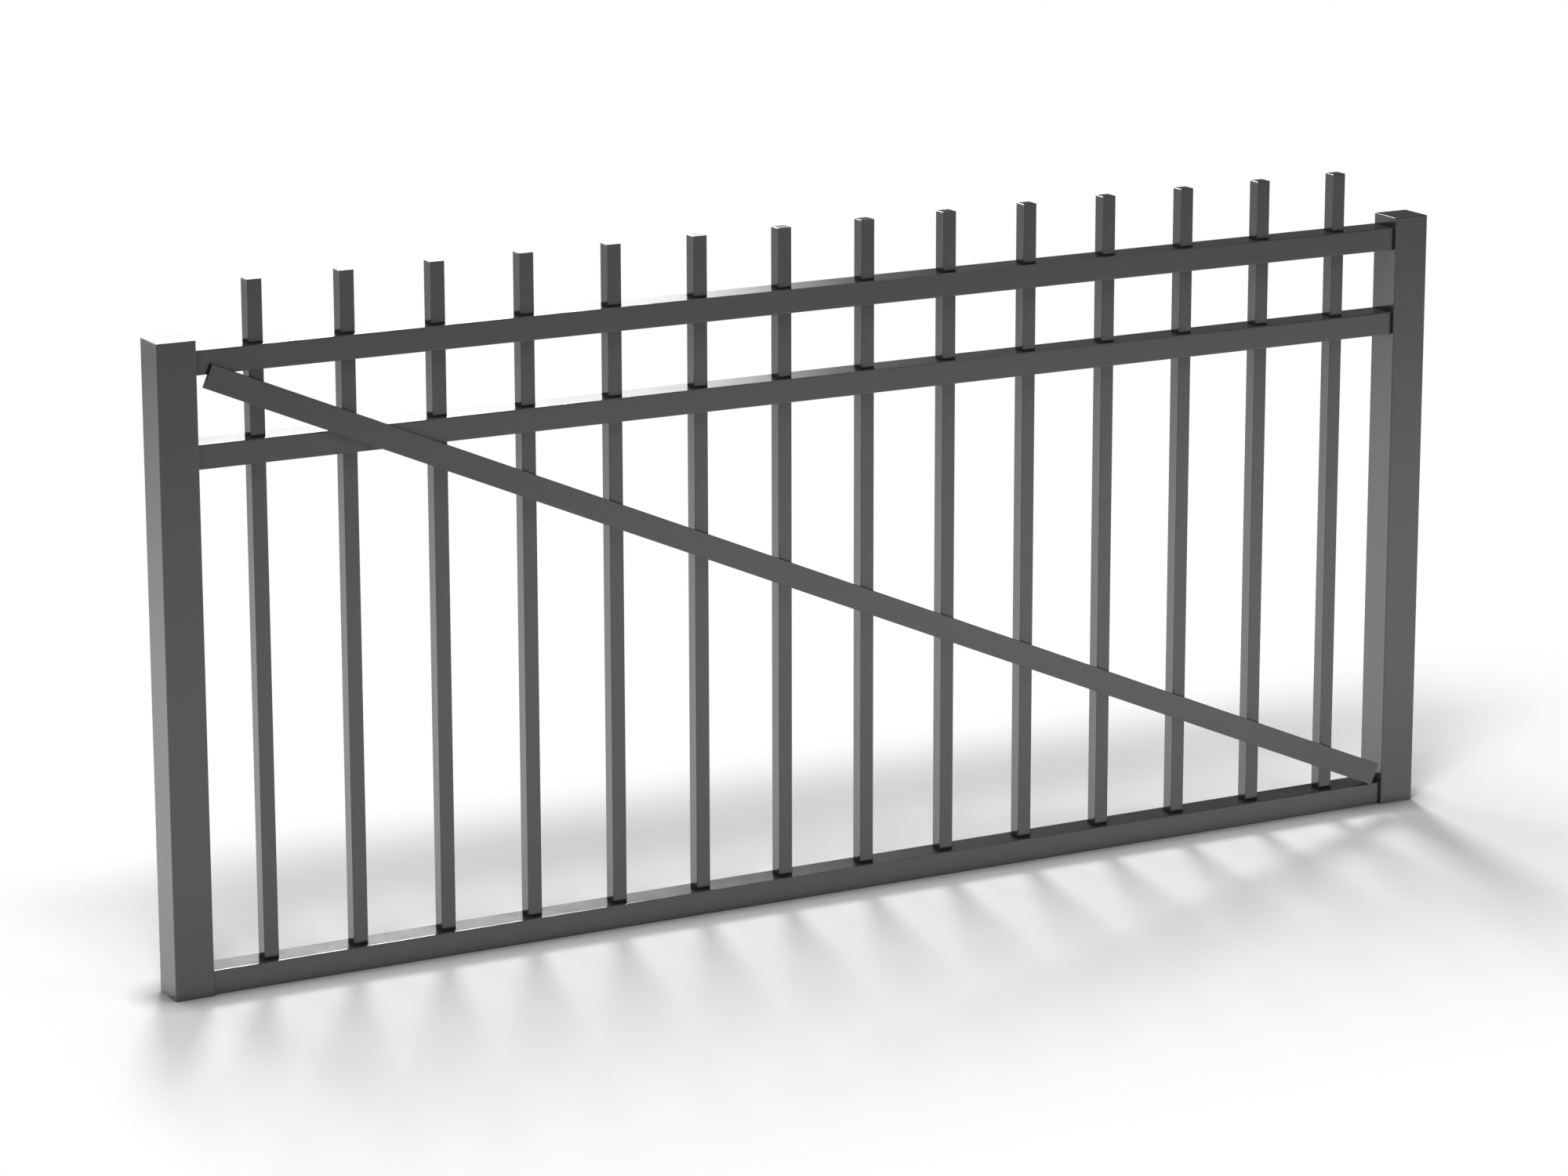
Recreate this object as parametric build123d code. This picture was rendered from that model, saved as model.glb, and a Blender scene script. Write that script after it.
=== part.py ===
from build123d import *
import math
import os

# Steel driveway gate: one rigid welded leaf, seen with its front towards -Y.
# Two square end uprights carry three rectangular rails. Square pickets pass through
# punched holes in the upper rails and stand inside the bottom rail, and a flat
# diagonal bar lies across the front of the rails.
# Millimetres, +Z up, +X from the hanging upright to the closing upright. The solids
# are placed from the foot of the leaf, and written with the origin at the centre of
# the hanging upright's outer face.

# Leaf
GATE_LENGTH = 1800.0
UPRIGHT_HEIGHT = 803.0

# End uprights: square tube, open at the foot, closed on top by a flat plate
UPRIGHT_SIDE = 50.0
UPRIGHT_WALL = 3.0
UPRIGHT_CORNER_RADIUS = 1.5
UPRIGHT_CAP_THICKNESS = 3.0

# Rails: rectangular tube between the uprights, at mid depth
RAIL_DEPTH = 40.0
RAIL_HEIGHT = 30.0
RAIL_WALL = 2.0
RAIL_CORNER_RADIUS = 1.2
TOP_RAIL_DROP = 13.0
UPPER_BAND_HEIGHT = 83.0

# Pickets: square tube, closed on top by a flat plate, as many as the length takes
PICKET_SIDE = 19.0
PICKET_WALL = 1.5
PICKET_CORNER_RADIUS = 1.0
PICKET_CAP_THICKNESS = 1.5
PICKET_GAP = 99.2
LEAST_END_GAP = 45.0
PICKET_STAND = 76.0
PUNCH_CLEARANCE = 0.25

# Diagonal bar: both ends cut square, head over the top rail, foot on the bottom rail
BAR_WIDTH = 30.0
BAR_THICKNESS = 5.0
BAR_EDGE_RADIUS = 0.5
BAR_HEAD_INSET = 20.0
BAR_HEAD_DROP = 17.0
BAR_FOOT_INSET = 17.0
BAR_FOOT_LAP = 0.5

# Upper edges of the closing plates, eased by a small chamfer
CAP_EDGE_CHAMFER = 0.5

# Places that follow from the sizes above
INNER_LEFT = UPRIGHT_SIDE
INNER_RIGHT = GATE_LENGTH - UPRIGHT_SIDE
RAIL_LENGTH = INNER_RIGHT - INNER_LEFT
RAIL_FRONT = -RAIL_DEPTH / 2
TOP_RAIL_TOP = UPRIGHT_HEIGHT - TOP_RAIL_DROP
MIDDLE_RAIL_TOP = TOP_RAIL_TOP - RAIL_HEIGHT - UPPER_BAND_HEIGHT
BOTTOM_RAIL_TOP = RAIL_HEIGHT
PICKET_FOOT = RAIL_WALL
PICKET_TOP = TOP_RAIL_TOP + PICKET_STAND
PICKET_PITCH = PICKET_SIDE + PICKET_GAP
PICKET_COUNT = int((RAIL_LENGTH - 2 * LEAST_END_GAP + PICKET_GAP) // PICKET_PITCH)
FIRST_PICKET = (GATE_LENGTH - PICKET_PITCH * (PICKET_COUNT - 1)) / 2
PICKET_PLACES = [FIRST_PICKET + PICKET_PITCH * number for number in range(PICKET_COUNT)]
ORIGIN = (0, 0, UPRIGHT_HEIGHT / 2)


def tube_section(width, depth, wall, corner_radius):
    """Hollow rectangular profile with rounded outer corners."""
    bore = Rectangle(width - 2 * wall, depth - 2 * wall)
    return RectangleRounded(width, depth, corner_radius) - bore


def standing_tube(x, side, wall, corner_radius, foot, top):
    """Square tube from the height of its foot to its top, centred on x."""
    section = tube_section(side, side, wall, corner_radius)
    return Pos(x, 0, foot) * extrude(section, top - foot)


def closing_plate(x, side, corner_radius, thickness, top):
    """Flat plate on a tube's end, flush all round, with its upper edge eased."""
    plate = extrude(RectangleRounded(side, side, corner_radius), thickness)
    easing = min(CAP_EDGE_CHAMFER, corner_radius / 2, thickness / 2)
    plate = chamfer(plate.edges().group_by(Axis.Z)[-1], easing)
    return Pos(x, 0, top - thickness) * plate


def upright(x):
    top = UPRIGHT_HEIGHT - UPRIGHT_CAP_THICKNESS
    return standing_tube(x, UPRIGHT_SIDE, UPRIGHT_WALL, UPRIGHT_CORNER_RADIUS, 0, top)


def upright_cap(x):
    return closing_plate(x, UPRIGHT_SIDE, UPRIGHT_CORNER_RADIUS, UPRIGHT_CAP_THICKNESS, UPRIGHT_HEIGHT)


def picket(x):
    top = PICKET_TOP - PICKET_CAP_THICKNESS
    return standing_tube(x, PICKET_SIDE, PICKET_WALL, PICKET_CORNER_RADIUS, PICKET_FOOT, top)


def picket_cap(x):
    return closing_plate(x, PICKET_SIDE, PICKET_CORNER_RADIUS, PICKET_CAP_THICKNESS, PICKET_TOP)


def punches(bottom, top):
    """Square punches at the pickets' places, between two heights."""
    side = PICKET_SIDE + 2 * PUNCH_CLEARANCE
    punch = extrude(Rectangle(side, side), top - bottom)
    return [Pos(x, 0, bottom) * punch for x in PICKET_PLACES]


def rail(top, punched_below):
    """Rail with the given upper face, punched through its upper wall or through both."""
    section = tube_section(RAIL_HEIGHT, RAIL_DEPTH, RAIL_WALL, RAIL_CORNER_RADIUS)
    middle = top - RAIL_HEIGHT / 2
    tube = Pos(INNER_LEFT, 0, middle) * Rot(0, 90, 0) * extrude(section, RAIL_LENGTH)
    deepest = top - RAIL_HEIGHT - RAIL_WALL if punched_below else middle
    return tube - punches(deepest, top + RAIL_WALL)


def diagonal_bar():
    """Flat bar whose diagonal runs from its head's upper corner to its foot's lower corner."""
    head_x = INNER_LEFT + BAR_HEAD_INSET
    head_z = TOP_RAIL_TOP - BAR_HEAD_DROP
    foot_x = INNER_RIGHT - BAR_FOOT_INSET
    foot_z = BOTTOM_RAIL_TOP - BAR_FOOT_LAP
    across = math.hypot(foot_x - head_x, head_z - foot_z)
    length = math.sqrt(across ** 2 - BAR_WIDTH ** 2)
    slope = math.atan2(head_z - foot_z, foot_x - head_x) - math.asin(BAR_WIDTH / across)
    section = RectangleRounded(BAR_WIDTH, BAR_THICKNESS, BAR_EDGE_RADIUS)
    bar = Pos(-length / 2, 0, 0) * Rot(0, 90, 0) * extrude(section, length)
    centre = Pos((head_x + foot_x) / 2, RAIL_FRONT - BAR_THICKNESS / 2, (head_z + foot_z) / 2)
    return centre * Rot(0, math.degrees(slope), 0) * bar


def gate_pieces():
    """Every piece of the leaf by name, placed from the foot of the leaf."""
    pieces = {}
    upright_places = {"left": UPRIGHT_SIDE / 2, "right": GATE_LENGTH - UPRIGHT_SIDE / 2}
    for side, x in upright_places.items():
        pieces[f"{side}_upright"] = upright(x)
        pieces[f"{side}_upright_cap"] = upright_cap(x)
    pieces["top_rail"] = rail(TOP_RAIL_TOP, punched_below=True)
    pieces["middle_rail"] = rail(MIDDLE_RAIL_TOP, punched_below=True)
    pieces["bottom_rail"] = rail(BOTTOM_RAIL_TOP, punched_below=False)
    for number, x in enumerate(PICKET_PLACES, start=1):
        pieces[f"picket_{number:02d}"] = picket(x)
        pieces[f"picket_cap_{number:02d}"] = picket_cap(x)
    pieces["diagonal_bar"] = diagonal_bar()
    return pieces


os.makedirs("parts", exist_ok=True)
for name, solid in gate_pieces().items():
    export_step(Pos(*ORIGIN).inverse() * solid, f"parts/{name}.step")
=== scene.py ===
import math

import bpy
from mathutils import Matrix, Vector


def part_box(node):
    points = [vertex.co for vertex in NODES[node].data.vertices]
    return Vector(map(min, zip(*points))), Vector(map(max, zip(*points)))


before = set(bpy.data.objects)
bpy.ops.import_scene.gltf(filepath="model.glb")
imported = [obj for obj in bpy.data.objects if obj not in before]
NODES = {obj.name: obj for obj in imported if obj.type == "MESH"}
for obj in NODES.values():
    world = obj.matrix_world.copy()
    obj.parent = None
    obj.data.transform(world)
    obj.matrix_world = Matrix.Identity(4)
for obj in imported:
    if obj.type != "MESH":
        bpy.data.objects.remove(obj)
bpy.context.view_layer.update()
FLOOR_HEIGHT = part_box("left_upright")[0].z

# Camera, in metres and degrees
FRAME_WIDTH_PX = 2000
FOCAL_LENGTH_PX = 6675.9
SENSOR_WIDTH_MM = 36.0
CAMERA_PLACE = Vector((-2.2171, -5.6155, 1.9904 + FLOOR_HEIGHT))
CAMERA_AZIMUTH = 28.596
CAMERA_ELEVATION = 13.923
CAMERA_ROLL = 0.101
CAMERA_REACH = 100.0

# Paint: glossy dark coat, its edges eased and painted shade darkening its joints
PAINT_COLOUR = (0.034, 0.034, 0.0345)
PAINT_ROUGHNESS = 0.15
PAINT_IOR = 2.0
EDGE_RADIUS = 0.0007
EDGE_SAMPLES = 4
CREVICE_SHADE_DISTANCE = 0.008
CREVICE_SHADE_DEPTH = 2.0
SHELTER_SAMPLES = 8

# Paint texture: noise scales are waves in a metre, bump heights are metres
MOTTLE = dict(scale=35.0, detail=3.0, roughness=0.6)
MOTTLE_TONE = (0.94, 1.06)
MOTTLE_GLOSS = 0.02
ORANGE_PEEL = dict(scale=420.0, detail=2.0, strength=0.07, height=0.0004)
GRIT = dict(scale=1600.0, detail=1.0, strength=0.06, height=0.0001)

# Studio: azimuths count from +Y towards +X, and levels are shares of the light on the open floor
STUDIO_CENTRE = Vector((0.9, 0.0, FLOOR_HEIGHT + 0.3))
LAMP_DISTANCE = 8.0
LAMPS = {
    "back_key": dict(azimuth=20.0, elevation=30.0, width=14.0, level=0.38),
    "front_key": dict(azimuth=-140.0, elevation=57.0, width=18.0, level=0.46),
    "left_fill": dict(azimuth=-112.0, elevation=36.0, width=14.0, level=0.04),
    "right_fill": dict(azimuth=135.0, elevation=50.0, width=18.0, level=0.045),
    "top_fill": dict(azimuth=25.0, elevation=70.0, width=22.0, level=0.07),
    "left_window": dict(azimuth=-14.0, elevation=28.0, width=18.0, level=0.05),
}

# Room: white to the camera, otherwise dim, with a low bright window that the gate's upper faces mirror
WHITE = (1.0, 1.0, 1.0, 1.0)
ROOM_LEVEL = 0.088
GLOW_LEVEL = 2.08
GLOW_AZIMUTH = (8.0, 28.3)
GLOW_AZIMUTH_BLUR = (10.0, 1.2)
GLOW_ELEVATION = (11.7, 16.7)

# Floor: lit and shadowed inside the shade patch, plain white outside it
FLOOR_SIZE = 60.0
FLOOR_COLOUR = (0.90, 0.90, 0.90)
SHADE_X = (-0.24, -0.04, 2.0, 2.6)
SHADE_Y = (-1.0, -0.42, 0.5, 1.15)

# Floor close to the gate: a patch of painted shade, and painted contact shadow
PAINTED_SHADE_X = (-0.1, 0.1, 1.8, 2.1)
PAINTED_SHADE_Y = (-0.75, -0.2, 0.36, 0.58)
PAINTED_SHADE_LEVEL = 0.86
CONTACT_SHADE_DISTANCE = 0.055
CONTACT_SHADE_DEPTH = 1.7

# Floor as the gate mirrors it: a painted pool of light, dimmer outwards and at the front left, with painted
# shade along the gate's line
BACK_POOL = dict(start=0.8, end=4.5, near=1.27, far=0.54)
FRONT_POOL = dict(start=-0.8, end=-4.5, near=0.89, far=0.37)
FRONT_POOL_LEFT = dict(start=0.4, end=2.6, near=0.76)
GATE_LINE_SHADE = dict(start=0.0, end=0.6, near=0.85)


def direction(azimuth, elevation):
    """Unit vector towards an azimuth and elevation in degrees."""
    turn = math.radians(azimuth)
    rise = math.radians(elevation)
    return Vector((math.sin(turn) * math.cos(rise), math.cos(turn) * math.cos(rise), math.sin(rise)))


def make_camera():
    """Camera at the photograph's viewing angle, level line tilted by the measured roll."""
    azimuth = math.radians(CAMERA_AZIMUTH)
    roll = math.radians(CAMERA_ROLL)
    forward = direction(CAMERA_AZIMUTH, -CAMERA_ELEVATION)
    right = Vector((math.cos(azimuth), -math.sin(azimuth), 0))
    up = right.cross(forward)
    turned_right = math.cos(roll) * right - math.sin(roll) * up
    turned_up = math.sin(roll) * right + math.cos(roll) * up
    axes = Matrix((turned_right, turned_up, -forward)).transposed()
    data = bpy.data.cameras.new("view")
    data.sensor_width = SENSOR_WIDTH_MM
    data.lens = FOCAL_LENGTH_PX * SENSOR_WIDTH_MM / FRAME_WIDTH_PX
    data.clip_end = CAMERA_REACH
    camera = bpy.data.objects.new("view", data)
    camera.matrix_world = Matrix.Translation(CAMERA_PLACE) @ axes.to_4x4()
    bpy.context.scene.collection.objects.link(camera)
    bpy.context.scene.camera = camera


class Shader:
    """Small helper that adds and joins nodes in one material or world."""

    def __init__(self, tree):
        self.tree = tree
        tree.nodes.clear()

    def add(self, kind, inputs=None, **settings):
        """Adds a node, with a value or a link for each named or numbered input."""
        node = self.tree.nodes.new(kind)
        for name, value in settings.items():
            setattr(node, name, value)
        for name, value in (inputs or {}).items():
            socket = node.inputs[name]
            if isinstance(value, bpy.types.NodeSocket):
                self.tree.links.new(value, socket)
            else:
                socket.default_value = value
        return node

    def math(self, operation, a, b=0.0):
        """Result of one operation on one or two numbers."""
        return self.add("ShaderNodeMath", {0: a, 1: b}, operation=operation).outputs[0]

    def between(self, share, low, high):
        """Number that goes from low to high as the share goes from 0 to 1."""
        return self.add("ShaderNodeMix", {0: share, 2: low, 3: high}, data_type="FLOAT").outputs[0]

    def darkened(self, colour, level):
        """Colour multiplied by a number."""
        mix = self.add("ShaderNodeMix", {0: 1.0, 6: (*colour, 1.0), 7: level}, data_type="RGBA",
                       blend_type="MULTIPLY")
        return mix.outputs[2]

    def fade(self, value, start, end, near=0.0, far=1.0):
        """Smooth step of a value, from near at start to far at end."""
        ends = {"Value": value, "From Min": start, "From Max": end, "To Min": near, "To Max": far}
        step = self.add("ShaderNodeMapRange", ends, interpolation_type="SMOOTHSTEP")
        return step.outputs["Result"]

    def noise(self, place, scale, detail, roughness=0.5):
        """Random number from 0 to 1 that varies smoothly with place."""
        field = self.add("ShaderNodeTexNoise", {"Vector": place, "Scale": scale, "Detail": detail,
                                                "Roughness": roughness})
        return field.outputs["Fac"]

    def spread(self, value, low, high):
        """Number from 0 to 1 spread evenly from low to high."""
        step = self.add("ShaderNodeMapRange", {"Value": value, "To Min": low, "To Max": high})
        return step.outputs["Result"]

    def shelter(self, distance):
        """How open a point is to its surroundings within a distance, from 0 to 1."""
        open_share = self.add("ShaderNodeAmbientOcclusion", {"Distance": distance}, samples=SHELTER_SAMPLES)
        return open_share.outputs["AO"]


def bumped(shader, place, normal, scale, detail, strength, height):
    """Normal with one fine texture of the sprayed coat added to it."""
    relief = shader.noise(place, scale, detail)
    bump = shader.add("ShaderNodeBump", {"Strength": strength, "Distance": height, "Height": relief,
                                         "Normal": normal})
    return bump.outputs["Normal"]


def paint_material():
    """Dark glossy coat with a faint mottle, a fine sprayed texture, eased edges and painted shade in its
    joints.
    """
    material = bpy.data.materials.new("gate_paint")
    material.use_nodes = True
    shader = Shader(material.node_tree)
    place = shader.add("ShaderNodeTexCoord").outputs["Object"]
    mottle = shader.noise(place, **MOTTLE)
    # Painted shade: the coat's colour is darkened where a point is closed in, in joints and corners between
    # parts
    crevice_shade = shader.math("POWER", shader.shelter(CREVICE_SHADE_DISTANCE), CREVICE_SHADE_DEPTH)
    mottle_and_crevice_shade = shader.math("MULTIPLY", shader.spread(mottle, *MOTTLE_TONE), crevice_shade)
    roughness = shader.spread(mottle, PAINT_ROUGHNESS - MOTTLE_GLOSS, PAINT_ROUGHNESS + MOTTLE_GLOSS)
    eased = shader.add("ShaderNodeBevel", {"Radius": EDGE_RADIUS}, samples=EDGE_SAMPLES).outputs[0]
    waves = bumped(shader, place, eased, **ORANGE_PEEL)
    surface = shader.add("ShaderNodeBsdfPrincipled", {
        "Base Color": shader.darkened(PAINT_COLOUR, mottle_and_crevice_shade), "Roughness": roughness, "IOR": PAINT_IOR,
        "Normal": bumped(shader, place, waves, **GRIT)})
    shader.add("ShaderNodeOutputMaterial", {"Surface": surface.outputs[0]})
    return material


def paint_gate():
    """The same coat of paint on every piece."""
    paint = paint_material()
    for node in NODES.values():
        node.data.materials.clear()
        node.data.materials.append(paint)


def patch(shader, axes, ends_x, ends_y):
    """Soft-edged patch of floor: along each axis it starts, is full, begins to end and stops."""
    along_x = shader.math("MULTIPLY", shader.fade(axes["X"], ends_x[0], ends_x[1]),
                          shader.fade(axes["X"], ends_x[3], ends_x[2]))
    along_y = shader.math("MULTIPLY", shader.fade(axes["Y"], ends_y[0], ends_y[1]),
                          shader.fade(axes["Y"], ends_y[3], ends_y[2]))
    return shader.math("MULTIPLY", along_x, along_y)


def painted_pool_level(shader, axes):
    """Brightness of the floor in mirrored rays: a painted pool of light round the gate that dims outwards,
    with painted shade along the gate's line.
    """
    behind = shader.fade(axes["Y"], **BACK_POOL)
    before = shader.math("MULTIPLY", shader.fade(axes["Y"], **FRONT_POOL),
                         shader.fade(axes["X"], **FRONT_POOL_LEFT))
    is_behind = shader.math("GREATER_THAN", axes["Y"], 0.0)
    away = shader.math("ABSOLUTE", axes["Y"])
    return shader.math("MULTIPLY", shader.between(is_behind, before, behind), shader.fade(away, **GATE_LINE_SHADE))


def floor_material():
    """Lit floor round the gate, where it keeps the shadows and has painted shade beside the gate, and a white
    backdrop further off; mirrored rays see a painted pool of light.
    """
    material = bpy.data.materials.new("floor_white")
    material.use_nodes = True
    shader = Shader(material.node_tree)
    place = shader.add("ShaderNodeTexCoord").outputs["Object"]
    axes = shader.add("ShaderNodeSeparateXYZ", {"Vector": place}).outputs
    openness = shader.shelter(CONTACT_SHADE_DISTANCE)

    # Painted shade: the floor's colour darkens by contact near the gate and in a greyer patch beside it, on
    # top of the real shadows
    contact_shade = shader.math("POWER", openness, CONTACT_SHADE_DEPTH)
    painted_shade = shader.between(patch(shader, axes, PAINTED_SHADE_X, PAINTED_SHADE_Y), 1.0, PAINTED_SHADE_LEVEL)
    colour = shader.darkened(FLOOR_COLOUR, shader.math("MULTIPLY", contact_shade, painted_shade))
    lit = shader.add("ShaderNodeBsdfDiffuse", {"Color": colour})

    path = shader.add("ShaderNodeLightPath").outputs
    mirrored = shader.math("MAXIMUM", path["Is Glossy Ray"], path["Is Transmission Ray"])
    outside = shader.math("SUBTRACT", 1.0, patch(shader, axes, SHADE_X, SHADE_Y))
    backdrop = shader.math("MAXIMUM", mirrored, shader.math("MULTIPLY", path["Is Camera Ray"], outside))
    # Painted pool of light for mirrored rays, darkened by painted contact shade near the gate
    painted_pool_and_shade = shader.math("MULTIPLY", painted_pool_level(shader, axes), openness)
    level = shader.between(path["Is Camera Ray"], painted_pool_and_shade, 1.0)
    white = shader.add("ShaderNodeEmission", {"Color": WHITE, "Strength": level})

    surface = shader.add("ShaderNodeMixShader", {"Fac": backdrop, 1: lit.outputs[0], 2: white.outputs[0]})
    shader.add("ShaderNodeOutputMaterial", {"Surface": surface.outputs[0]})
    return material


def make_floor():
    """Large flat floor at the height of the gate's feet."""
    half = FLOOR_SIZE / 2
    corners = [(x, y, FLOOR_HEIGHT) for x, y in ((-half, -half), (half, -half), (half, half), (-half, half))]
    mesh = bpy.data.meshes.new("floor")
    mesh.from_pydata(corners, [], [(0, 1, 2, 3)])
    mesh.materials.append(floor_material())
    floor = bpy.data.objects.new("floor", mesh)
    bpy.context.scene.collection.objects.link(floor)


def softbox(name, azimuth, elevation, width, level):
    """Round soft light in a direction from the gate, with an angular width in degrees.

    Its level is the brightness that it alone gives a white horizontal surface.
    """
    data = bpy.data.lights.new(name, "AREA")
    data.shape = "DISK"
    data.size = 2 * LAMP_DISTANCE * math.tan(math.radians(width / 2))
    data.energy = level * math.pi ** 2 * LAMP_DISTANCE ** 2 / math.sin(math.radians(elevation))
    lamp = bpy.data.objects.new(name, data)
    towards = direction(azimuth, elevation)
    lamp.location = STUDIO_CENTRE + LAMP_DISTANCE * towards
    lamp.rotation_euler = (-towards).to_track_quat("-Z", "Y").to_euler()
    lamp.visible_camera = False
    bpy.context.scene.collection.objects.link(lamp)


def make_world():
    """Room round the gate: dim, with a low bright window behind it, and white where the camera looks."""
    world = bpy.data.worlds.new("studio")
    bpy.context.scene.world = world
    world.use_nodes = True
    shader = Shader(world.node_tree)
    view = shader.add("ShaderNodeTexCoord").outputs["Generated"]
    axes = shader.add("ShaderNodeSeparateXYZ", {"Vector": view}).outputs
    turn = shader.math("MULTIPLY", shader.math("ARCTAN2", axes["X"], axes["Y"]), math.degrees(1))
    rise = shader.math("MULTIPLY", shader.math("ARCSINE", axes["Z"]), math.degrees(1))
    left, right = GLOW_AZIMUTH
    left_blur, right_blur = GLOW_AZIMUTH_BLUR
    low, high = GLOW_ELEVATION
    across = shader.math("MULTIPLY", shader.fade(turn, left - left_blur, left + left_blur),
                         shader.fade(turn, right + right_blur, right - right_blur))
    glow = shader.math("MULTIPLY", across, shader.fade(rise, high, low))
    room = shader.math("ADD", shader.math("MULTIPLY", glow, GLOW_LEVEL), ROOM_LEVEL)
    camera_ray = shader.add("ShaderNodeLightPath").outputs["Is Camera Ray"]
    strength = shader.math("MAXIMUM", camera_ray, room)
    light = shader.add("ShaderNodeBackground", {"Color": WHITE, "Strength": strength})
    shader.add("ShaderNodeOutputWorld", {"Surface": light.outputs[0]})


make_camera()
paint_gate()
make_floor()
make_world()
for lamp_name, lamp_setting in LAMPS.items():
    softbox(lamp_name, **lamp_setting)
bpy.context.scene.view_settings.view_transform = "Standard"
